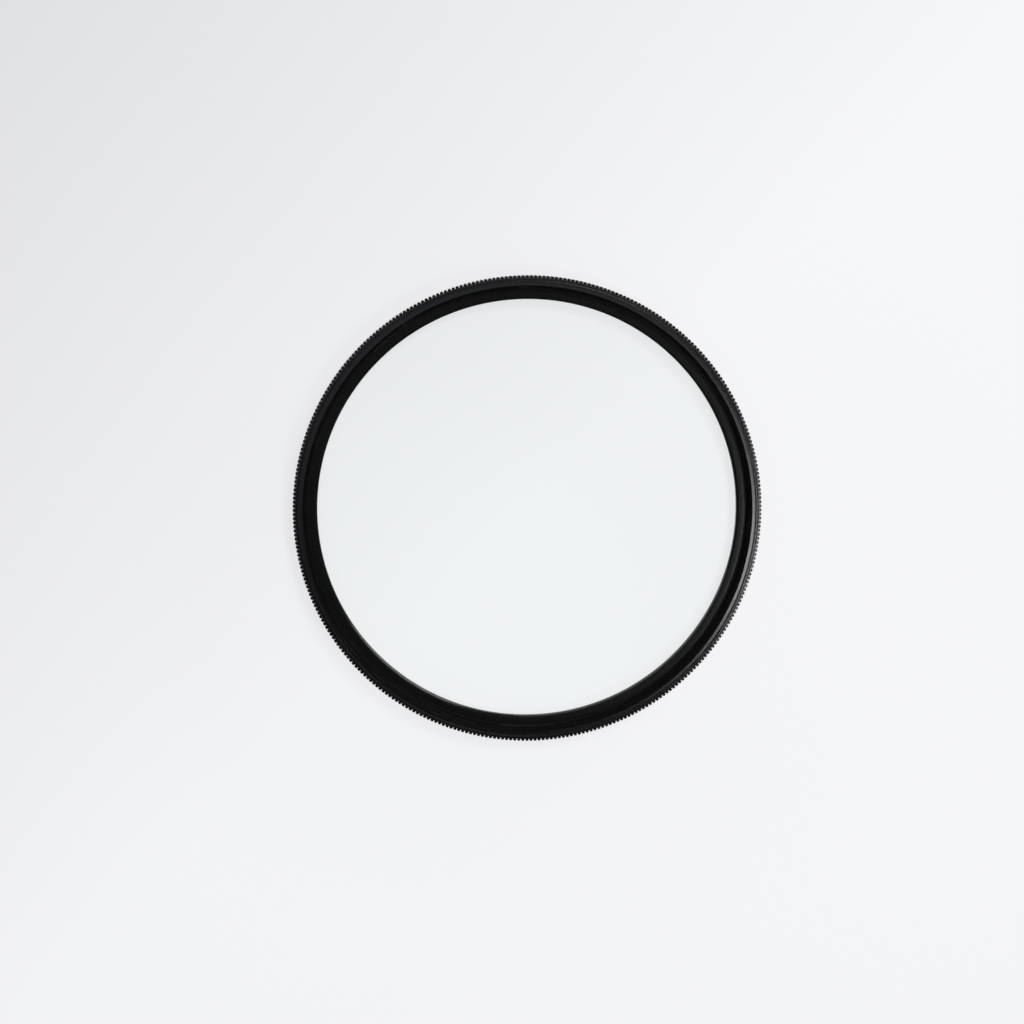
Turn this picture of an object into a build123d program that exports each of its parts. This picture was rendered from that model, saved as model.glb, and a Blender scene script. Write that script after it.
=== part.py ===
from build123d import *
import os
from math import cos, pi, sin, sqrt

# Ultraviolet lens filter: a turned aluminium frame, a clear glass disc and a threaded retaining ring.
# It lies on the end of its rear thread. The optical axis is +Z, the front of the filter faces up,
# and the origin is on the axis in the plane of the rear end face. Lengths are in millimetres.

# Filter thread of the front and the back, M67 x 0.75. Every diameter below follows from it.
thread_diameter = 67.0
thread_pitch = 0.75

# Rear thread: what screws into a lens
rear_thread_length = 2.0
rear_thread_lead_in = 0.3
rear_relief_width = 0.4
rear_relief_depth = 0.5

# Grip band with a straight knurl of wide lands and narrow V grooves, cut from a blank that is
# knurl_allowance larger all round
grip_stand_out = 1.5
grip_length = 3.2
knurl_pitch = 0.62
knurl_depth = 0.4
knurl_land = 0.46
knurl_allowance = 0.5

# Plain rim that stands in front of the grip band, the wide shallow mouth turned into it and the
# cone that leads into the front thread
rim_set_back = 0.55
rim_height = 1.0
rim_bevel_width = 0.2
rim_bevel_drop = 0.07
rim_wall = 0.43
mouth_depth = 0.35
thread_mouth_clearance = 0.03
front_thread_lead_in = 0.34

# Glass disc and the lip that it lies on
glass_set_in = 1.0
glass_thickness = 1.6
glass_bevel = 0.15
glass_side_clearance = 0.05
seat_width = 0.55
seat_thickness = 1.0
rear_aperture_bevel = 0.25

# Retaining ring, screwed down on the glass in a bore of its own behind the front thread. It lies a
# little below the step between the two and has a blind slot on each side for a spanner. The bore
# ends a little below the face of the glass.
retainer_overlap = 1.05
retainer_thickness = 1.0
retainer_bore_step = 0.17
retainer_recess = 0.15
retainer_bore_drop = 0.15
retainer_inner_bevel = 0.25
retainer_side_clearance = 0.02
spanner_slot_width = 1.0
spanner_slot_length = 0.7
spanner_slot_depth = 0.5
spanner_slot_azimuth = 65.0

# Radii of the thread: the crest of the rear thread and the crest of the front thread, whose ridges
# stand 5/8 of the sharp profile's height above their roots
sharp_profile_height = sqrt(3) / 2 * thread_pitch
front_thread_depth = 5 / 8 * sharp_profile_height
thread_radius = thread_diameter / 2
front_bore_radius = thread_radius - front_thread_depth

# Radii outside and inside the thread
grip_radius = thread_radius + grip_stand_out
rim_radius = grip_radius - rim_set_back
mouth_radius = rim_radius - rim_wall
thread_mouth_radius = thread_radius + thread_mouth_clearance
glass_radius = thread_radius - glass_set_in
pocket_radius = glass_radius + glass_side_clearance
rear_aperture_radius = glass_radius - seat_width
retainer_opening_radius = glass_radius - retainer_overlap
retainer_bore_radius = pocket_radius + retainer_bore_step

# Heights of the main faces above the rear end face
shoulder_z = rear_thread_length
rim_base_z = shoulder_z + grip_length
front_z = rim_base_z + rim_height
ledge_z = front_z - mouth_depth
glass_back_z = seat_thickness
glass_front_z = glass_back_z + glass_thickness
retainer_front_z = glass_front_z + retainer_thickness
step_z = retainer_front_z + retainer_recess


def turned(outline):
    """Solid turned about the optical axis from the (radius, height) corners of its half section."""
    section = Plane.XZ * make_face(Polyline(*outline, close=True))
    return revolve(section, Axis.Z)


def knurl_cutter():
    """Everything outside the lands and flanks of the knurl, as one toothed ring."""
    root_radius = grip_radius - knurl_depth
    tooth_count = round(2 * pi * grip_radius / knurl_pitch)
    tooth_angle = 2 * pi / tooth_count
    half_land_angle = knurl_land / 2 / grip_radius

    corners = []
    for tooth in range(tooth_count):
        middle = tooth * tooth_angle
        for radius, angle in (
            (grip_radius, middle - half_land_angle),
            (grip_radius, middle + half_land_angle),
            (root_radius, middle + tooth_angle / 2),
        ):
            corners.append((radius * cos(angle), radius * sin(angle)))

    toothed_face = make_face(Polyline(*corners, close=True))
    ring_face = Circle(grip_radius + 2 * knurl_allowance) - toothed_face
    cut_length = grip_length + 2 * knurl_allowance
    return Pos(0, 0, shoulder_z - knurl_allowance) * extrude(ring_face, cut_length)


def make_frame():
    """Frame with the rear thread, the knurled grip, the plain rim, the front thread and the glass seat."""
    blank_radius = grip_radius + knurl_allowance
    relief_radius = thread_radius - rear_relief_depth
    retainer_bore_end_z = glass_front_z - retainer_bore_drop

    outside = [
        (thread_radius - rear_thread_lead_in, 0),
        (thread_radius, rear_thread_lead_in),
        (thread_radius, shoulder_z - rear_relief_width),
        (relief_radius, shoulder_z - rear_relief_width),
        (relief_radius, shoulder_z),
        (blank_radius, shoulder_z),
        (blank_radius, rim_base_z),
        (rim_radius, rim_base_z),
        (rim_radius, front_z - rim_bevel_drop),
        (rim_radius - rim_bevel_width, front_z),
    ]
    inside = [
        (mouth_radius, front_z),
        (mouth_radius, ledge_z),
        (thread_mouth_radius, ledge_z),
        (front_bore_radius, ledge_z - front_thread_lead_in),
        (front_bore_radius, step_z),
        (retainer_bore_radius, step_z),
        (retainer_bore_radius, retainer_bore_end_z),
        (pocket_radius, retainer_bore_end_z),
        (pocket_radius, glass_back_z),
        (rear_aperture_radius, glass_back_z),
        (rear_aperture_radius, rear_aperture_bevel),
        (rear_aperture_radius + rear_aperture_bevel, 0),
    ]
    return turned(outside + inside) - knurl_cutter()


def make_glass():
    """Plane glass disc with ground bevels round both faces."""
    return turned([
        (0, glass_back_z),
        (glass_radius - glass_bevel, glass_back_z),
        (glass_radius, glass_back_z + glass_bevel),
        (glass_radius, glass_front_z - glass_bevel),
        (glass_radius - glass_bevel, glass_front_z),
        (0, glass_front_z),
    ])


def make_retaining_ring():
    """Flat ring on the rim of the glass, bevelled inside, with two blind slots at its outer edge."""
    outer_radius = retainer_bore_radius - retainer_side_clearance
    ring = turned([
        (retainer_opening_radius, glass_front_z),
        (outer_radius, glass_front_z),
        (outer_radius, retainer_front_z),
        (retainer_opening_radius + retainer_inner_bevel, retainer_front_z),
        (retainer_opening_radius, retainer_front_z - retainer_inner_bevel),
    ])

    slot_floor = retainer_front_z - spanner_slot_depth
    slot_inner_end = outer_radius - spanner_slot_length
    slot = Box(2 * spanner_slot_length, spanner_slot_width, 2 * spanner_slot_depth,
               align=(Align.MIN, Align.CENTER, Align.MIN))
    for turn in (0, 180):
        ring -= Rot(0, 0, spanner_slot_azimuth + turn) * Pos(slot_inner_end, 0, slot_floor) * slot
    return ring


os.makedirs("parts", exist_ok=True)
export_step(make_frame(), "parts/filter_frame.step")
export_step(make_glass(), "parts/glass_disc.step")
export_step(make_retaining_ring(), "parts/retaining_ring.step")
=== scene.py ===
from math import cos, pi, radians, sin, sqrt

import bmesh
import bpy
from mathutils import Matrix, Vector


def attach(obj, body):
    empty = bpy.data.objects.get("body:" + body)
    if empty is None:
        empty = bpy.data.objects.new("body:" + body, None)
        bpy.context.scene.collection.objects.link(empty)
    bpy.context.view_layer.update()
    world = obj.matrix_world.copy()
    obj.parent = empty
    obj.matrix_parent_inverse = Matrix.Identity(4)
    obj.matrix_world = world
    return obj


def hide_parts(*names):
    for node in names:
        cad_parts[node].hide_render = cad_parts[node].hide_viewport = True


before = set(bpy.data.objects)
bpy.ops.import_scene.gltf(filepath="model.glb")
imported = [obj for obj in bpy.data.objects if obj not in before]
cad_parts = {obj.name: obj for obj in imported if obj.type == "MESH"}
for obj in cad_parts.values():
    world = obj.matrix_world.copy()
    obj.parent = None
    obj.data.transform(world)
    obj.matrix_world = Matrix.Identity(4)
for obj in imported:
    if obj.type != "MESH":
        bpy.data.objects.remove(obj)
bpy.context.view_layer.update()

# Ultraviolet lens filter, lying on the end of its rear thread with its front up. The optical axis is
# +Z. Sizes are in millimetres and are turned to metres where a mesh or a pattern is made.
MM = 0.001

# Filter thread of the front and the back, M67 x 0.75. Every radius below follows from it.
THREAD_DIAMETER = 67.0
THREAD_PITCH = 0.75

# Rear thread, the cone that leads into it and the relief behind it. The outer radius of the rear end
# face is REAR_FACE_STEP smaller than that of the relief.
REAR_THREAD_LENGTH = 2.0
REAR_THREAD_LEAD_IN = 0.3
REAR_RELIEF_WIDTH = 0.4
REAR_RELIEF_DEPTH = 0.5
REAR_FACE_STEP = 0.02

# Grip band with a straight knurl. The knurl is a ring of its own. Over a short stretch at both ends
# its teeth drop to a share of their height.
GRIP_STAND_OUT = 1.5
GRIP_LENGTH = 3.2
KNURL_PITCH = 0.62
KNURL_DEPTH = 0.4
KNURL_RING_WALL = 0.8
TOOTH_END_LENGTH = 0.11
TOOTH_END_SHARE = 0.4

# Plain rim in front of the grip band, the shallow mouth turned into it and the cone that leads into
# the front thread
RIM_SET_BACK = 0.55
RIM_HEIGHT = 1.0
RIM_BEVEL_WIDTH = 0.2
RIM_BEVEL_DROP = 0.07
RIM_WALL = 0.43
MOUTH_DEPTH = 0.35
THREAD_MOUTH_CLEARANCE = 0.03
FRONT_THREAD_LEAD_IN = 0.34

# Glass disc and the lip that it lies on
GLASS_SET_IN = 1.0
GLASS_THICKNESS = 1.6
GLASS_BEVEL = 0.15
GLASS_SIDE_CLEARANCE = 0.05
SEAT_WIDTH = 0.55
SEAT_THICKNESS = 1.0
REAR_APERTURE_BEVEL = 0.25

# Retaining ring in its own bore behind the front thread, with two blind slots for a spanner
RETAINER_OVERLAP = 1.05
RETAINER_THICKNESS = 1.0
RETAINER_BORE_STEP = 0.17
RETAINER_RECESS = 0.15
RETAINER_BORE_DROP = 0.15
RETAINER_BEVEL = 0.25
RETAINER_SIDE_CLEARANCE = 0.02
SPANNER_SLOT_WIDTH = 1.0
SPANNER_SLOT_LENGTH = 0.7
SPANNER_SLOT_DEPTH = 0.5
SPANNER_SLOT_AZIMUTH = 65.0

# How far each turned edge is rounded off
RIM_EASE = 0.02
BORE_EASE = 0.01
REAR_APERTURE_EASE = 0.03
RETAINER_EASE = 0.04

# Radii of the thread. Its sharp profile is an equilateral triangle. The front ridges stand 5/8 of the
# triangle's height above their roots, and the rear grooves are 17/24 of it deep.
SHARP_HEIGHT = sqrt(3) / 2 * THREAD_PITCH
THREAD_RADIUS = THREAD_DIAMETER / 2
FRONT_CREST_RADIUS = THREAD_RADIUS - 5 / 8 * SHARP_HEIGHT
REAR_ROOT_RADIUS = THREAD_RADIUS - 17 / 24 * SHARP_HEIGHT

# Radii outside and inside the thread
RELIEF_RADIUS = THREAD_RADIUS - REAR_RELIEF_DEPTH
REAR_FACE_RADIUS = RELIEF_RADIUS - REAR_FACE_STEP
GRIP_RADIUS = THREAD_RADIUS + GRIP_STAND_OUT
KNURL_ROOT_RADIUS = GRIP_RADIUS - KNURL_DEPTH
KNURL_INNER_RADIUS = GRIP_RADIUS - KNURL_RING_WALL
RIM_RADIUS = GRIP_RADIUS - RIM_SET_BACK
MOUTH_RADIUS = RIM_RADIUS - RIM_WALL
THREAD_MOUTH_RADIUS = THREAD_RADIUS + THREAD_MOUTH_CLEARANCE
GLASS_RADIUS = THREAD_RADIUS - GLASS_SET_IN
POCKET_RADIUS = GLASS_RADIUS + GLASS_SIDE_CLEARANCE
REAR_APERTURE_RADIUS = GLASS_RADIUS - SEAT_WIDTH
RETAINER_OPENING_RADIUS = GLASS_RADIUS - RETAINER_OVERLAP
RETAINER_BORE_RADIUS = POCKET_RADIUS + RETAINER_BORE_STEP
RETAINER_OUTER_RADIUS = RETAINER_BORE_RADIUS - RETAINER_SIDE_CLEARANCE

# Heights of the main faces above the rear end face
SHOULDER_Z = REAR_THREAD_LENGTH
RELIEF_Z = SHOULDER_Z - REAR_RELIEF_WIDTH
GRIP_END_Z = SHOULDER_Z + GRIP_LENGTH
FRONT_Z = GRIP_END_Z + RIM_HEIGHT
LEDGE_Z = FRONT_Z - MOUTH_DEPTH
SEAT_Z = SEAT_THICKNESS
GLASS_FRONT_Z = SEAT_Z + GLASS_THICKNESS
POCKET_TOP_Z = GLASS_FRONT_Z - RETAINER_BORE_DROP
RETAINER_FRONT_Z = GLASS_FRONT_Z + RETAINER_THICKNESS
STEP_Z = RETAINER_FRONT_Z + RETAINER_RECESS

# Teeth of the knurl
TOOTH_COUNT = round(2 * pi * GRIP_RADIUS / KNURL_PITCH)
TOOTH_PITCH_ANGLE = 2 * pi / TOOTH_COUNT

# Fineness of the meshes: steps round the axis of every turned surface and rows of the thread walls
TURN_STEPS = 720
REAR_THREAD_ROWS = 44
FRONT_THREAD_ROWS = 56

# Two heights or radii closer than this count as the same
HAIR = 0.001

# Width of the sheet that the filter lies on, in metres
TABLE_SIZE = 6.0

# A node that mixes colours takes them at these inputs and gives the mixed colour at this output
COLOUR_A = 6
COLOUR_B = 7
MIXED = 2


def linear(hex_colour):
    """Linear RGBA of an sRGB hex colour."""
    channels = []
    for start in (1, 3, 5):
        value = int(hex_colour[start:start + 2], 16) / 255
        channels.append(value / 12.92 if value <= 0.04045 else ((value + 0.055) / 1.055) ** 2.4)
    return (*channels, 1.0)


def pattern_scale(width):
    """Scale of a noise pattern whose patches have this width in millimetres."""
    return 1 / (width * MM)


def add_node(tree, kind, inputs=None, **settings):
    """Adds a node with its settings. Each of its inputs takes a socket or a value."""
    node = tree.nodes.new(kind)
    for name, value in settings.items():
        setattr(node, name, value)
    for key, value in (inputs or {}).items():
        if isinstance(value, bpy.types.NodeSocket):
            tree.links.new(value, node.inputs[key])
        else:
            node.inputs[key].default_value = value
    return node


def new_material(name):
    """Empty material and its tree."""
    material = bpy.data.materials.new(name)
    material.use_nodes = True
    material.node_tree.nodes.clear()
    return material, material.node_tree


def cylinder_coordinates(tree):
    """Place on the object, distance from the optical axis and height above the rear end face."""
    place = add_node(tree, "ShaderNodeTexCoord").outputs["Object"]
    parts = add_node(tree, "ShaderNodeSeparateXYZ", {"Vector": place}).outputs
    flat = add_node(tree, "ShaderNodeCombineXYZ", {"X": parts["X"], "Y": parts["Y"]})
    radius = add_node(tree, "ShaderNodeVectorMath", {0: flat.outputs[0]}, operation="LENGTH")
    return place, radius.outputs["Value"], parts["Z"]


def anodised_aluminium(name, colour, worn_colour, roughness, shine, grain_height):
    """Turned aluminium, anodised deep black: nearly no colour of its own, a soft satin shine, a fine
    sandy grain, grain_height millimetres high, and faint rings left by the turning tool."""
    material, tree = new_material(name)
    place, radius, height = cylinder_coordinates(tree)

    # Grain: pits of about 0.05 mm in the real one, drawn 0.16 mm wide so that they show
    grain = add_node(tree, "ShaderNodeTexNoise",
                     {"Vector": place, "Scale": pattern_scale(0.16), "Detail": 3.0, "Roughness": 0.6})
    # Turning marks, 0.11 mm from one to the next, which run round the axis
    section = add_node(tree, "ShaderNodeCombineXYZ", {"X": radius, "Y": height})
    rings = add_node(tree, "ShaderNodeTexNoise",
                     {"Vector": section.outputs[0], "Scale": pattern_scale(0.11), "Detail": 2.0,
                      "Roughness": 0.5})
    # Cloudy differences in the dye, 5.5 mm wide
    clouds = add_node(tree, "ShaderNodeTexNoise",
                      {"Vector": place, "Scale": pattern_scale(5.5), "Detail": 3.0, "Roughness": 0.55})

    # The outermost 0.12 mm of the lands, which fingers rub, are a little paler and smoother
    worn = add_node(tree, "ShaderNodeMapRange",
                    {"Value": radius, "From Min": (GRIP_RADIUS - 0.12) * MM,
                     "From Max": GRIP_RADIUS * MM, "To Min": 0.0, "To Max": 0.55},
                    interpolation_type="SMOOTHSTEP")
    patchy = add_node(tree, "ShaderNodeMath",
                      {0: worn.outputs["Result"], 1: clouds.outputs["Fac"]}, operation="MULTIPLY")
    dye = add_node(tree, "ShaderNodeMix",
                   {"Factor": patchy.outputs[0], COLOUR_A: linear(colour),
                    COLOUR_B: linear(worn_colour)}, data_type="RGBA")

    rough_grain = add_node(tree, "ShaderNodeMapRange",
                           {"Value": grain.outputs["Fac"], "From Min": 0.3, "From Max": 0.7,
                            "To Min": roughness - 0.04, "To Max": roughness + 0.05})
    rough_rings = add_node(tree, "ShaderNodeMapRange",
                           {"Value": rings.outputs["Fac"], "From Min": 0.3, "From Max": 0.7,
                            "To Min": -0.015, "To Max": 0.015})
    rough_sum = add_node(tree, "ShaderNodeMath",
                         {0: rough_grain.outputs["Result"], 1: rough_rings.outputs["Result"]},
                         operation="ADD")
    rough_worn = add_node(tree, "ShaderNodeMath",
                          {0: patchy.outputs[0], 1: -0.12, 2: rough_sum.outputs[0]},
                          operation="MULTIPLY_ADD")

    ring_bump = add_node(tree, "ShaderNodeBump",
                         {"Height": rings.outputs["Fac"], "Strength": 0.25, "Distance": 0.004 * MM})
    grain_bump = add_node(tree, "ShaderNodeBump",
                          {"Height": grain.outputs["Fac"], "Normal": ring_bump.outputs["Normal"],
                           "Strength": 1.0, "Distance": grain_height * MM})
    surface = add_node(tree, "ShaderNodeBsdfPrincipled",
                       {"Base Color": dye.outputs[MIXED], "Roughness": rough_worn.outputs[0],
                        "Normal": grain_bump.outputs["Normal"], "IOR": 1.5,
                        "Specular IOR Level": shine})
    add_node(tree, "ShaderNodeOutputMaterial", {"Surface": surface.outputs["BSDF"]})
    return material


def coated_glass():
    """Polished clear glass with an anti-reflection coating: it takes nearly no light, and what little
    it mirrors is faintly green. An IOR of 1.2 in place of the glass's 1.5 gives the coating's weak
    mirror image. Rays from the lamps pass it, so that the table under it stays lit."""
    material, tree = new_material("Clear optical glass, polished and anti-reflection coated")
    place = add_node(tree, "ShaderNodeTexCoord").outputs["Object"]

    # Haze of wiping: smears 1.1 mm wide and eight times as long, too faint to see head on
    smear_place = add_node(tree, "ShaderNodeMapping",
                           {"Vector": place, "Scale": (1.0, 0.12, 1.0),
                            "Rotation": (0.0, 0.0, radians(35))})
    smears = add_node(tree, "ShaderNodeTexNoise",
                      {"Vector": smear_place.outputs[0], "Scale": pattern_scale(1.1), "Detail": 3.0,
                       "Roughness": 0.6})
    haze = add_node(tree, "ShaderNodeMapRange",
                    {"Value": smears.outputs["Fac"], "From Min": 0.45, "From Max": 0.8,
                     "To Min": 0.0, "To Max": 0.02})

    glass = add_node(tree, "ShaderNodeBsdfPrincipled",
                     {"Base Color": linear("#fdfffe"), "Roughness": haze.outputs["Result"],
                      "IOR": 1.2, "Transmission Weight": 1.0, "Specular Tint": linear("#eefaf4")})
    clear = add_node(tree, "ShaderNodeBsdfTransparent", {"Color": linear("#fbfdfc")})
    ray = add_node(tree, "ShaderNodeLightPath").outputs
    passing = add_node(tree, "ShaderNodeMath",
                       {0: ray["Is Shadow Ray"], 1: ray["Is Diffuse Ray"]}, operation="MAXIMUM")
    seen = add_node(tree, "ShaderNodeMixShader",
                    {0: passing.outputs[0], 1: glass.outputs[0], 2: clear.outputs[0]})
    add_node(tree, "ShaderNodeOutputMaterial", {"Surface": seen.outputs[0]})
    return material


def ground_glass():
    """Edge and bevels of the disc, ground with a diamond wheel: dull grey-white, with a grit of about
    0.05 mm that is drawn 0.11 mm wide so that it shows."""
    material, tree = new_material("Optical glass, ground edge")
    place = add_node(tree, "ShaderNodeTexCoord").outputs["Object"]
    grit = add_node(tree, "ShaderNodeTexNoise",
                    {"Vector": place, "Scale": pattern_scale(0.11), "Detail": 2.0, "Roughness": 0.7})
    tone = add_node(tree, "ShaderNodeMix",
                    {"Factor": grit.outputs["Fac"], COLOUR_A: linear("#3c4140"),
                     COLOUR_B: linear("#5d6462")}, data_type="RGBA")
    bump = add_node(tree, "ShaderNodeBump",
                    {"Height": grit.outputs["Fac"], "Strength": 0.6, "Distance": 0.01 * MM})
    surface = add_node(tree, "ShaderNodeBsdfPrincipled",
                       {"Base Color": tone.outputs[MIXED], "Normal": bump.outputs["Normal"],
                        "Roughness": 0.55, "IOR": 1.5})
    add_node(tree, "ShaderNodeOutputMaterial", {"Surface": surface.outputs[0]})
    return material


def matt_table():
    """Sheet of matt acrylic whose light grey base colour is outshone by a glow of its own: painted light
    that stands in for a lamp under it. It looks pale and even, with a hardly visible mottling of
    110 mm, and the painted glow grows slowly dimmer over the 110 mm from the filter's axis towards -X
    and +Y."""
    material, tree = new_material("Matt white acrylic sheet")
    place = add_node(tree, "ShaderNodeTexCoord").outputs["Object"]
    mottle = add_node(tree, "ShaderNodeTexNoise",
                      {"Vector": place, "Scale": pattern_scale(110), "Detail": 3.0, "Roughness": 0.5})
    tone = add_node(tree, "ShaderNodeMix",
                    {"Factor": mottle.outputs["Fac"], COLOUR_A: linear("#a0a2a5"),
                     COLOUR_B: linear("#a6a8ab")}, data_type="RGBA")
    # Painted light: the glow that stands in for a lamp under the sheet is strongest at the filter's axis
    # and fades over 110 mm towards -X and +Y
    away = add_node(tree, "ShaderNodeVectorMath",
                    {0: place, 1: (-sqrt(0.5), sqrt(0.5), 0.0)}, operation="DOT_PRODUCT")
    painted_glow = add_node(tree, "ShaderNodeMapRange",
                    {"Value": away.outputs["Value"], "From Min": 0.0, "From Max": 110 * MM,
                     "To Min": 0.79, "To Max": 0.62})
    surface = add_node(tree, "ShaderNodeBsdfPrincipled",
                       {"Base Color": tone.outputs[MIXED], "Roughness": 0.9, "IOR": 1.5,
                        "Specular IOR Level": 0.1, "Emission Color": linear("#fbfbfc"),
                        "Emission Strength": painted_glow.outputs["Result"]})
    add_node(tree, "ShaderNodeOutputMaterial", {"Surface": surface.outputs[0]})
    return material


def add_object(name, data):
    """Object at the origin that holds the mesh, lamp or camera."""
    added = bpy.data.objects.new(name, data)
    bpy.context.scene.collection.objects.link(added)
    return added


def to_object(name, mesh):
    """Object made from the mesh that was worked on."""
    data = bpy.data.meshes.new(name)
    mesh.to_mesh(data)
    mesh.free()
    return add_object(name, data)


def on_circle(radius, angle, height):
    """Point at this distance from the optical axis, this angle from +X and this height, in metres."""
    return radius * cos(angle) * MM, radius * sin(angle) * MM, height * MM


def eased(outline, closed):
    """The outline with a small arc of three chords in place of each corner that has an ease. The
    corners are (radius, height) or (radius, height, ease)."""
    result = []
    last = len(outline) - 1
    for index, corner in enumerate(outline):
        here = Vector(corner[:2])
        ease = corner[2] if len(corner) > 2 else 0
        if not ease or (not closed and index in (0, last)):
            result.append(tuple(here))
            continue
        before = Vector(outline[index - 1][:2]) - here
        after = Vector(outline[(index + 1) % len(outline)][:2]) - here
        start = here + before.normalized() * ease
        end = here + after.normalized() * ease
        for part in (0, 1 / 3, 2 / 3, 1):
            coming = start.lerp(here, part)
            leaving = here.lerp(end, part)
            result.append(tuple(coming.lerp(leaving, part)))
    return result


def add_turned(mesh, outline, closed=False):
    """Adds the surface of the outline turned about the optical axis and returns its circles. Seen in
    the (radius, height) plane the outline runs counter-clockwise round the solid."""
    angles = [-pi + 2 * pi * step / TURN_STEPS for step in range(TURN_STEPS)]
    circles = []
    for radius, height in eased(outline, closed):
        circles.append([mesh.verts.new(on_circle(radius, angle, height)) for angle in angles])
    pairs = list(zip(circles, circles[1:]))
    if closed:
        pairs.append((circles[-1], circles[0]))
    for lower, upper in pairs:
        for step in range(TURN_STEPS):
            after = (step + 1) % TURN_STEPS
            mesh.faces.new((lower[step], lower[after], upper[after], upper[step]))
    return circles


def shade(piece, sharp_angle):
    """Smooth shading that breaks at edges sharper than this angle in degrees."""
    mesh = bmesh.new()
    mesh.from_mesh(piece.data)
    for face in mesh.faces:
        face.smooth = True
    for edge in mesh.edges:
        if len(edge.link_faces) == 2:
            edge.smooth = edge.calc_face_angle(0) < radians(sharp_angle)
    mesh.to_mesh(piece.data)
    mesh.free()


def give_finishes(piece, finish, inner_finish, is_inner):
    """Gives each face the finish or, where is_inner says so of the distance of its middle from the
    axis and of its height, the inner finish."""
    piece.data.materials.append(finish)
    piece.data.materials.append(inner_finish)
    for face in piece.data.polygons:
        radius = face.center.xy.length / MM
        height = face.center.z / MM
        face.material_index = 1 if is_inner(radius, height) else 0


def new_tree(name, sizes):
    """Geometry Nodes tree with a geometry input, one named float input for each size, and an output."""
    tree = bpy.data.node_groups.new(name, "GeometryNodeTree")
    tree.interface.new_socket("Geometry", in_out="INPUT", socket_type="NodeSocketGeometry")
    for size in sizes:
        tree.interface.new_socket(size, in_out="INPUT", socket_type="NodeSocketFloat")
    tree.interface.new_socket("Geometry", in_out="OUTPUT", socket_type="NodeSocketGeometry")
    return tree, add_node(tree, "NodeGroupInput").outputs


def end_tree(tree, geometry, finish):
    """Ends the tree: its instances are made real and take the finish."""
    real = add_node(tree, "GeometryNodeRealizeInstances", {"Geometry": geometry})
    coated = add_node(tree, "GeometryNodeSetMaterial",
                      {"Geometry": real.outputs[0], "Material": finish})
    add_node(tree, "NodeGroupOutput", {"Geometry": coated.outputs[0]})


def baked(name, base, tree, sizes):
    """Plain mesh object that the tree makes from the base object with these sizes."""
    modifier = base.modifiers.new("nodes", "NODES")
    modifier.node_group = tree
    for item in tree.interface.items_tree:
        if item.in_out == "INPUT" and item.name in sizes:
            modifier[item.identifier] = float(sizes[item.name])
    bpy.context.view_layer.update()
    evaluated = base.evaluated_get(bpy.context.evaluated_depsgraph_get())
    data = bpy.data.meshes.new_from_object(evaluated)
    base.modifiers.remove(modifier)
    bpy.data.objects.remove(base)
    data.name = name
    return add_object(name, data)


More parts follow.
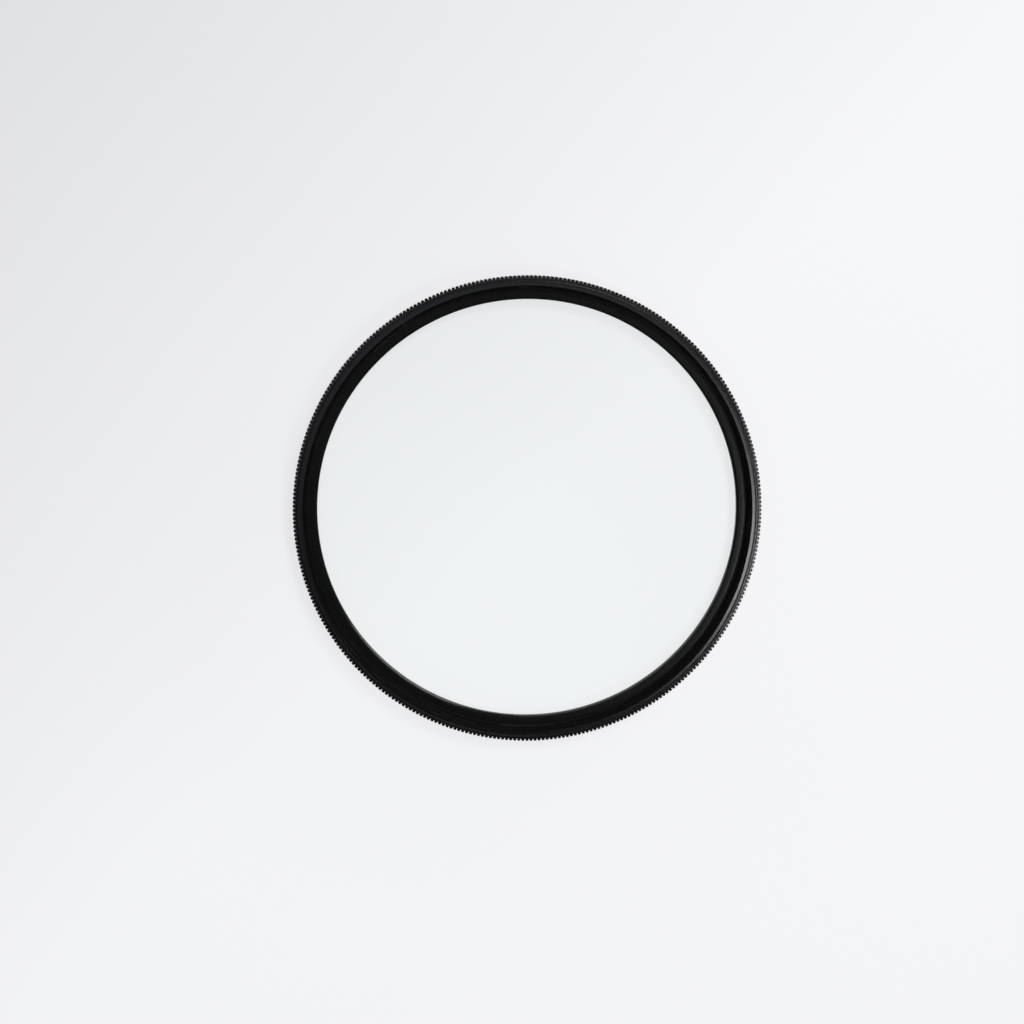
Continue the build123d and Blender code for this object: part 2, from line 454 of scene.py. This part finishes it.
def thread_tree(finish):
    """Helical thread on a wall round the optical axis. The wall is a grid that is bent to a cylinder.
    Its radius follows the 60 degree profile and is cut by the cone of the lead-in at the open end.
    Its first and last rows are plain circles, where the turned surfaces go on. A flat is the height
    over which a crest or a root stays level, and the cone's slope is radius over height. Side is 1
    where the crests point outwards and -1 where they point inwards."""
    tree, size = new_tree("Filter thread", (
        "Root Radius", "Crest Radius", "Pitch", "Crest Flat", "Root Flat", "Bottom", "Top",
        "Cone Radius", "Cone Height", "Cone Slope", "Side", "Bottom Radius", "Top Radius", "Rows"))

    # Flat grid: X is the angle round the axis, from -pi to pi, and Y goes up the wall
    length = add_node(tree, "ShaderNodeMath", {0: size["Top"], 1: size["Bottom"]},
                      operation="SUBTRACT").outputs[0]
    grid = add_node(tree, "GeometryNodeMeshGrid",
                    {"Size X": 2 * pi, "Vertices X": TURN_STEPS + 1, "Size Y": length,
                     "Vertices Y": size["Rows"]})
    place = add_node(tree, "GeometryNodeInputPosition")
    flat = add_node(tree, "ShaderNodeSeparateXYZ", {0: place.outputs[0]}).outputs
    along = add_node(tree, "ShaderNodeMath", {0: length, 1: 0.5, 2: flat["Y"]},
                     operation="MULTIPLY_ADD").outputs[0]
    height = add_node(tree, "ShaderNodeMath", {0: along, 1: size["Bottom"]},
                      operation="ADD").outputs[0]

    # Distance up or down to the nearest crest, which climbs one pitch with each turn
    pitches_up = add_node(tree, "ShaderNodeMath", {0: height, 1: size["Pitch"]}, operation="DIVIDE")
    turned = add_node(tree, "ShaderNodeMath", {0: flat["X"], 1: 2 * pi}, operation="DIVIDE")
    phase = add_node(tree, "ShaderNodeMath", {0: pitches_up.outputs[0], 1: turned.outputs[0]},
                     operation="SUBTRACT")
    share = add_node(tree, "ShaderNodeMath", {0: phase.outputs[0]}, operation="FRACT")
    from_middle = add_node(tree, "ShaderNodeMath", {0: share.outputs[0], 1: 0.5},
                           operation="SUBTRACT")
    unsigned = add_node(tree, "ShaderNodeMath", {0: from_middle.outputs[0]}, operation="ABSOLUTE")
    from_crest = add_node(tree, "ShaderNodeMath", {0: unsigned.outputs[0], 1: size["Pitch"]},
                          operation="MULTIPLY")

    # Profile of the ridge: level at the crest, straight down the flank and level at the root
    crest_end = add_node(tree, "ShaderNodeMath", {0: size["Crest Flat"], 1: 0.5},
                         operation="MULTIPLY")
    sloping = add_node(tree, "ShaderNodeMath", {0: size["Pitch"], 1: size["Root Flat"]},
                       operation="SUBTRACT")
    flank_end = add_node(tree, "ShaderNodeMath", {0: sloping.outputs[0], 1: 0.5},
                         operation="MULTIPLY")
    ridge = add_node(tree, "ShaderNodeMapRange",
                     {"Value": from_crest.outputs[0], "From Min": crest_end.outputs[0],
                      "From Max": flank_end.outputs[0], "To Min": size["Crest Radius"],
                      "To Max": size["Root Radius"]})

    # Lead-in: whichever of ridge and cone leaves less metal
    above_cone = add_node(tree, "ShaderNodeMath", {0: height, 1: size["Cone Height"]},
                          operation="SUBTRACT")
    cone = add_node(tree, "ShaderNodeMath",
                    {0: above_cone.outputs[0], 1: size["Cone Slope"], 2: size["Cone Radius"]},
                    operation="MULTIPLY_ADD")
    signed_ridge = add_node(tree, "ShaderNodeMath", {0: ridge.outputs[0], 1: size["Side"]},
                            operation="MULTIPLY")
    signed_cone = add_node(tree, "ShaderNodeMath", {0: cone.outputs[0], 1: size["Side"]},
                           operation="MULTIPLY")
    least = add_node(tree, "ShaderNodeMath", {0: signed_ridge.outputs[0], 1: signed_cone.outputs[0]},
                     operation="MINIMUM")
    cut = add_node(tree, "ShaderNodeMath", {0: least.outputs[0], 1: size["Side"]},
                   operation="MULTIPLY")

    # The first and the last row lie on the circles of the turned surfaces
    first = add_node(tree, "ShaderNodeMath", {0: along, 1: HAIR}, operation="LESS_THAN")
    top_row = add_node(tree, "ShaderNodeMath", {0: length, 1: HAIR}, operation="SUBTRACT")
    last = add_node(tree, "ShaderNodeMath", {0: along, 1: top_row.outputs[0]},
                    operation="GREATER_THAN")
    from_bottom = add_node(tree, "GeometryNodeSwitch",
                           {"Switch": first.outputs[0], "False": cut.outputs[0],
                            "True": size["Bottom Radius"]}, input_type="FLOAT")
    radius = add_node(tree, "GeometryNodeSwitch",
                      {"Switch": last.outputs[0], "False": from_bottom.outputs[0],
                       "True": size["Top Radius"]}, input_type="FLOAT")

    # The grid is bent round the axis, and its two edges meet
    upright = add_node(tree, "ShaderNodeCombineXYZ", {"X": radius.outputs[0], "Z": height})
    bent = add_node(tree, "ShaderNodeVectorRotate", {"Vector": upright.outputs[0], "Angle": flat["X"]},
                    rotation_type="Z_AXIS")
    in_metres = add_node(tree, "ShaderNodeVectorMath", {0: bent.outputs[0], "Scale": MM},
                         operation="SCALE")
    wall = add_node(tree, "GeometryNodeSetPosition",
                    {"Geometry": grid.outputs["Mesh"], "Position": in_metres.outputs[0]})
    seamless = add_node(tree, "GeometryNodeMergeByDistance",
                        {"Geometry": wall.outputs[0], "Distance": HAIR * MM})
    end_tree(tree, seamless.outputs[0], finish)
    return tree


def knurl_tree(finish):
    """One tooth of the knurl, repeated round the optical axis and joined to a closed ring."""
    tree, size = new_tree("Straight knurl", ("Tooth Count",))
    points = add_node(tree, "GeometryNodePoints", {"Count": size["Tooth Count"]})
    number = add_node(tree, "GeometryNodeInputIndex")
    share = add_node(tree, "ShaderNodeMath", {0: number.outputs[0], 1: size["Tooth Count"]},
                     operation="DIVIDE")
    angle = add_node(tree, "ShaderNodeMath", {0: share.outputs[0], 1: 2 * pi}, operation="MULTIPLY")
    turn = add_node(tree, "ShaderNodeCombineXYZ", {"Z": angle.outputs[0]})
    teeth = add_node(tree, "GeometryNodeInstanceOnPoints",
                     {"Points": points.outputs[0], "Instance": size["Geometry"],
                      "Rotation": turn.outputs[0]})
    real = add_node(tree, "GeometryNodeRealizeInstances", {"Geometry": teeth.outputs[0]})
    joined = add_node(tree, "GeometryNodeMergeByDistance",
                      {"Geometry": real.outputs[0], "Distance": 2 * HAIR * MM})
    end_tree(tree, joined.outputs[0], finish)
    return tree


def one_tooth():
    """One pitch of the knurl, from the middle of a gap to the middle of the next, with a softened land,
    softened ends and the part of both end faces and of the inner wall behind it."""
    # (share of the pitch from the tooth's middle, share of the tooth's depth)
    half = [(0.5, 0.0), (0.475, 0.05), (0.38, 0.6), (0.34, 0.8), (0.29, 0.92), (0.22, 0.98), (0.14, 1.0)]
    section = [(-share, rise) for share, rise in half] + half[::-1]
    # (height, share of the tooth's depth that is left there)
    levels = [
        (SHOULDER_Z, TOOTH_END_SHARE),
        (SHOULDER_Z + TOOTH_END_LENGTH, 1.0),
        (GRIP_END_Z - TOOTH_END_LENGTH, 1.0),
        (GRIP_END_Z, TOOTH_END_SHARE),
    ]

    inner_wall = [KNURL_INNER_RADIUS] * len(section)
    radii_by_height = [(SHOULDER_Z, inner_wall)]
    for height, left in levels:
        radii = [KNURL_ROOT_RADIUS + KNURL_DEPTH * min(rise, left) for share, rise in section]
        radii_by_height.append((height, radii))
    radii_by_height.append((GRIP_END_Z, inner_wall))

    mesh = bmesh.new()
    rows = []
    for height, radii in radii_by_height:
        row = []
        for (share, rise), radius in zip(section, radii):
            row.append(mesh.verts.new(on_circle(radius, share * TOOTH_PITCH_ANGLE, height)))
        rows.append(row)
    for lower, upper in zip(rows, rows[1:] + rows[:1]):
        for index in range(len(section) - 1):
            mesh.faces.new((lower[index], lower[index + 1], upper[index + 1], upper[index]))
    return to_object("one_tooth", mesh)


def make_knurl(finish):
    piece = baked("grip_knurl", one_tooth(), knurl_tree(finish), {"Tooth Count": TOOTH_COUNT})
    shade(piece, sharp_angle=24)
    return piece


def thread_wall(name, tree, sizes):
    """Wall with a thread, which the tree makes out of nothing."""
    return baked(name, add_object(name, bpy.data.meshes.new(name)), tree, sizes)


def make_frame_body(finish, bore_finish):
    """The turned frame without its knurl: one closed surface with a real thread at the front and the
    back."""
    tree = thread_tree(finish)
    rear_thread = thread_wall("rear_thread", tree, {
        "Root Radius": REAR_ROOT_RADIUS,
        "Crest Radius": THREAD_RADIUS,
        "Pitch": THREAD_PITCH,
        "Crest Flat": THREAD_PITCH / 8,
        "Root Flat": THREAD_PITCH / 5,
        "Bottom": 0.0,
        "Top": RELIEF_Z,
        "Cone Radius": THREAD_RADIUS - REAR_THREAD_LEAD_IN,
        "Cone Height": 0.0,
        "Cone Slope": 1.0,
        "Side": 1.0,
        "Bottom Radius": REAR_FACE_RADIUS,
        "Top Radius": RELIEF_RADIUS,
        "Rows": REAR_THREAD_ROWS,
    })
    front_thread = thread_wall("front_thread", tree, {
        "Root Radius": THREAD_RADIUS,
        "Crest Radius": FRONT_CREST_RADIUS,
        "Pitch": THREAD_PITCH,
        "Crest Flat": THREAD_PITCH / 4,
        "Root Flat": THREAD_PITCH / 8,
        "Bottom": STEP_Z,
        "Top": LEDGE_Z,
        "Cone Radius": THREAD_MOUTH_RADIUS,
        "Cone Height": LEDGE_Z,
        "Cone Slope": (THREAD_MOUTH_RADIUS - FRONT_CREST_RADIUS) / FRONT_THREAD_LEAD_IN,
        "Side": -1.0,
        "Bottom Radius": FRONT_CREST_RADIUS,
        "Top Radius": THREAD_MOUTH_RADIUS,
        "Rows": FRONT_THREAD_ROWS,
    })
    front_thread.data.flip_normals()

    # The turned surfaces from the rear thread round the outside to the front thread, and from there
    # round the inside back to the rear thread
    outside = [
        (RELIEF_RADIUS, RELIEF_Z),
        (RELIEF_RADIUS, SHOULDER_Z),
        (KNURL_INNER_RADIUS, SHOULDER_Z),
        (KNURL_INNER_RADIUS, GRIP_END_Z),
        (RIM_RADIUS, GRIP_END_Z),
        (RIM_RADIUS, FRONT_Z - RIM_BEVEL_DROP, RIM_EASE),
        (RIM_RADIUS - RIM_BEVEL_WIDTH, FRONT_Z, RIM_EASE),
        (MOUTH_RADIUS, FRONT_Z, BORE_EASE),
        (MOUTH_RADIUS, LEDGE_Z),
        (THREAD_MOUTH_RADIUS, LEDGE_Z),
    ]
    inside = [
        (FRONT_CREST_RADIUS, STEP_Z),
        (RETAINER_BORE_RADIUS, STEP_Z, BORE_EASE),
        (RETAINER_BORE_RADIUS, POCKET_TOP_Z),
        (POCKET_RADIUS, POCKET_TOP_Z),
        (POCKET_RADIUS, SEAT_Z),
        (REAR_APERTURE_RADIUS, SEAT_Z, REAR_APERTURE_EASE),
        (REAR_APERTURE_RADIUS, REAR_APERTURE_BEVEL, REAR_APERTURE_EASE),
        (REAR_APERTURE_RADIUS + REAR_APERTURE_BEVEL, 0.0, REAR_APERTURE_EASE),
        (REAR_FACE_RADIUS, 0.0),
    ]
    mesh = bmesh.new()
    add_turned(mesh, outside)
    add_turned(mesh, inside)
    for wall in (rear_thread, front_thread):
        mesh.from_mesh(wall.data)
        bpy.data.objects.remove(wall)
    bmesh.ops.remove_doubles(mesh, verts=mesh.verts, dist=HAIR * MM)
    piece = to_object("frame_body", mesh)

    # The inner finish reaches from the glass's seat to the mouth of the front thread
    def in_bore(radius, height):
        return radius < THREAD_MOUTH_RADIUS and SEAT_Z < height < LEDGE_Z - HAIR

    give_finishes(piece, finish, bore_finish, in_bore)
    shade(piece, sharp_angle=28)
    return piece


def make_retaining_ring(finish, bevel_finish):
    """Turned ring with two blind slots for a spanner, which are cut from its outer edge."""
    mesh = bmesh.new()
    add_turned(mesh, [
        (RETAINER_OPENING_RADIUS, GLASS_FRONT_Z),
        (RETAINER_OUTER_RADIUS, GLASS_FRONT_Z),
        (RETAINER_OUTER_RADIUS, RETAINER_FRONT_Z),
        (RETAINER_OPENING_RADIUS + RETAINER_BEVEL, RETAINER_FRONT_Z, RETAINER_EASE),
        (RETAINER_OPENING_RADIUS, RETAINER_FRONT_Z - RETAINER_BEVEL, RETAINER_EASE),
    ], closed=True)
    ring = to_object("retainer", mesh)

    # Each cutter is a box round the edge of the front face, so that half of it cuts
    cutters = bmesh.new()
    place = Matrix.Translation((RETAINER_OUTER_RADIUS * MM, 0, RETAINER_FRONT_Z * MM))
    size = Matrix.Diagonal((2 * SPANNER_SLOT_LENGTH * MM, SPANNER_SLOT_WIDTH * MM,
                            2 * SPANNER_SLOT_DEPTH * MM, 1.0))
    for azimuth in (SPANNER_SLOT_AZIMUTH, SPANNER_SLOT_AZIMUTH + 180):
        turn = Matrix.Rotation(radians(azimuth), 4, "Z")
        bmesh.ops.create_cube(cutters, size=1, matrix=turn @ place @ size)
    cutter = to_object("slot_cutter", cutters)

    modifier = ring.modifiers.new("slots", "BOOLEAN")
    modifier.operation = "DIFFERENCE"
    modifier.solver = "EXACT"
    modifier.object = cutter
    bpy.context.view_layer.update()
    data = bpy.data.meshes.new_from_object(ring.evaluated_get(bpy.context.evaluated_depsgraph_get()))
    bpy.data.objects.remove(ring)
    bpy.data.objects.remove(cutter)
    piece = add_object("retainer", data)

    def on_bevel(radius, height):
        over = radius - RETAINER_OPENING_RADIUS
        return HAIR < over < RETAINER_BEVEL and height < RETAINER_FRONT_Z - HAIR

    give_finishes(piece, finish, bevel_finish, on_bevel)
    shade(piece, sharp_angle=28)
    return piece


def make_glass(polished, ground):
    """Plane disc. Its faces are polished, its edge and bevels are ground."""
    mesh = bmesh.new()
    circles = add_turned(mesh, [
        (GLASS_RADIUS - GLASS_BEVEL, SEAT_Z),
        (GLASS_RADIUS, SEAT_Z + GLASS_BEVEL),
        (GLASS_RADIUS, GLASS_FRONT_Z - GLASS_BEVEL),
        (GLASS_RADIUS - GLASS_BEVEL, GLASS_FRONT_Z),
    ])
    for face in mesh.faces:
        face.material_index = 1
    mesh.faces.new(circles[0][::-1])
    mesh.faces.new(circles[-1])
    piece = to_object("clear_disc", mesh)
    piece.data.materials.append(polished)
    piece.data.materials.append(ground)
    shade(piece, sharp_angle=20)
    return piece


def make_table(finish):
    mesh = bmesh.new()
    bmesh.ops.create_grid(mesh, x_segments=1, y_segments=1, size=TABLE_SIZE / 2)
    piece = to_object("table_sheet", mesh)
    piece.data.materials.append(finish)
    return piece


def soft_box(name, azimuth, elevation, distance, width, height, power, colour="#ffffff"):
    """Rectangular lamp that looks at the middle of the filter's front. The azimuth is counted from +X,
    and the lengths are in metres."""
    data = bpy.data.lights.new(name, "AREA")
    data.shape = "RECTANGLE"
    data.size = width
    data.size_y = height
    data.energy = power
    data.color = linear(colour)[:3]
    lamp = add_object(name, data)
    around = radians(azimuth)
    up = radians(elevation)
    direction = Vector((cos(around) * cos(up), sin(around) * cos(up), sin(up)))
    lamp.location = Vector((0, 0, FRONT_Z * MM)) + direction * distance
    lamp.rotation_mode = "QUATERNION"
    lamp.rotation_quaternion = (-direction).to_track_quat("-Z", "Y")
    return lamp


def make_camera(place, aim, lens):
    """Camera at place that looks at aim, both in millimetres, with +Y up in its picture."""
    data = bpy.data.cameras.new("Camera")
    data.sensor_width = 36
    data.lens = lens
    data.clip_start = 0.01
    data.clip_end = 20
    camera = add_object("Camera", data)
    back = (Vector(place) - Vector(aim)).normalized()
    right = Vector((0, 1, 0)).cross(back).normalized()
    up = back.cross(right)
    turn = Matrix((right, up, back)).transposed().to_4x4()
    camera.matrix_world = Matrix.Translation(Vector(place) * MM) @ turn
    bpy.context.scene.camera = camera


# Camera: 322 mm in front of the filter, a little above its axis and to the left of it
make_camera(place=(-16.4, 41.1, 324.6), aim=(-2.415, -0.085, 5.2), lens=76.04)

frame_finish = anodised_aluminium(
    "Black anodised aluminium, turned and bead-blasted", colour="#0a0a0b", worn_colour="#1c1c1e",
    roughness=0.2, shine=0.5, grain_height=0.004)
bore_finish = anodised_aluminium(
    "Black anodised aluminium, finely turned", colour="#131314", worn_colour="#1a1a1b",
    roughness=0.25, shine=0.14, grain_height=0.003)

frame_body = make_frame_body(frame_finish, bore_finish)
grip_knurl = make_knurl(frame_finish)
retainer = make_retaining_ring(bore_finish, frame_finish)
clear_disc = make_glass(coated_glass(), ground_glass())

table_sheet = make_table(matt_table())

for piece in (frame_body, grip_knurl, retainer, clear_disc):
    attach(piece, "root")
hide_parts("filter_frame")
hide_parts("filter_frame")
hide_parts("retaining_ring")
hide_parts("glass_disc")

# Light. Up, left and right are those of the camera's picture.
# A key high at the upper right
soft_box("key", azimuth=60, elevation=64, distance=0.8, width=0.2, height=0.2, power=1.1,
         colour="#fffdfa")
# A wide panel over the filter
overhead = soft_box("overhead", azimuth=90, elevation=78, distance=0.9, width=1.0, height=0.63,
                    power=0.8, colour="#f4f8ff")
# Two low strips beyond the top, whose mirror images draw the fine line on the retaining ring
soft_box("low_strip", azimuth=45, elevation=11, distance=0.6, width=0.42, height=0.07, power=0.55)
soft_box("low_strip_back", azimuth=125, elevation=11, distance=0.6, width=1.1, height=0.07, power=0.5)
# A small one beside the camera, whose mirror image makes the right side of the rim bright
rim_light = soft_box("rim_light", azimuth=-31.4, elevation=70.8, distance=0.337, width=0.032,
                     height=0.032, power=0.085)
# A weak fill from the bottom of the picture
soft_box("fill", azimuth=250, elevation=52, distance=0.9, width=0.4, height=0.3, power=0.2,
         colour="#f4f8ff")

# The coating of the glass leaves no mirror image of the two lamps that stand over it
coated = bpy.data.collections.new("coated_glass")
coated.objects.link(clear_disc)
for lamp in (overhead, rim_light):
    lamp.light_linking.receiver_collection = coated
coated.collection_objects[0].light_linking.link_state = "EXCLUDE"

# Weak cool light from all sides
world = bpy.data.worlds.new("Studio")
bpy.context.scene.world = world
world.use_nodes = True
world.node_tree.nodes["Background"].inputs["Color"].default_value = linear("#c6ccd8")
world.node_tree.nodes["Background"].inputs["Strength"].default_value = 0.08
bpy.context.scene.view_settings.view_transform = "Standard"
